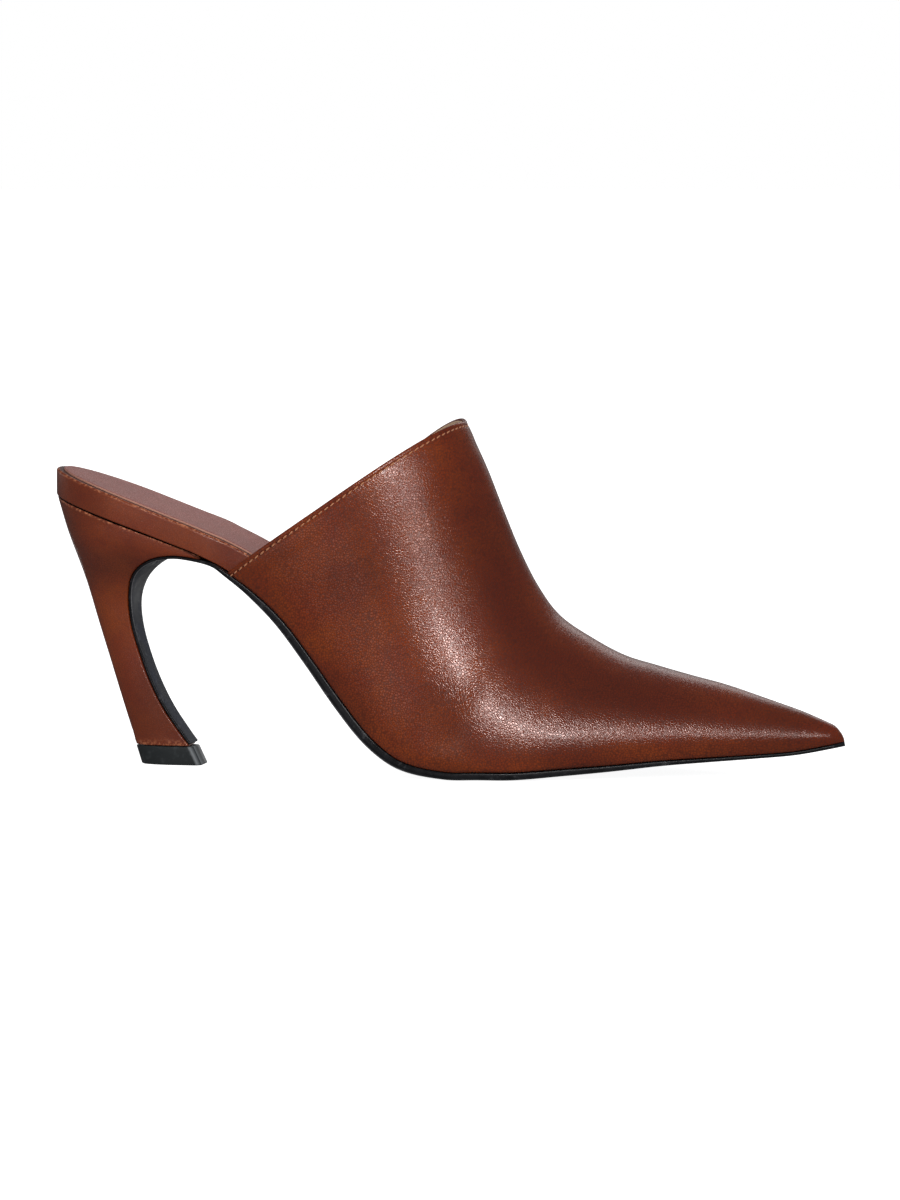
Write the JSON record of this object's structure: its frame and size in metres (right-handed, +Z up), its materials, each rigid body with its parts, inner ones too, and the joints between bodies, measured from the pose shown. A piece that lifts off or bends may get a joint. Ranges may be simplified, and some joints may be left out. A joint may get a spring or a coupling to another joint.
{
  "type": "mule shoe",
  "caption": "Pointed-toe leather mule with a high slanted topline, an open back, a wrapped seat edge and a slim curved heel with a sole flap.",
  "frame": {"origin": "middle of the whole shoe in length and width, on the floor", "axes": "+X to the toe, +Y to the inner side of the foot, +Z up"},
  "size_m": [0.2552, 0.076, 0.1118],
  "materials": {
    "upper": "smooth brown leather with a fine grain and a soft sheen",
    "insole_board": "brown leather wrapped round the board",
    "sock": "thin brown leather, slightly shiny",
    "outsole": "black painted sole leather, satin",
    "heel": "brown leather glued round the heel block",
    "top_piece": "black rubber, dull"
  },
  "bodies": {
    "root": {"upper": "upper", "insole_board": "insole_board", "sock": "sock", "outsole": "outsole", "heel": "heel", "top_piece": "top_piece"}
  },
  "joints": []
}
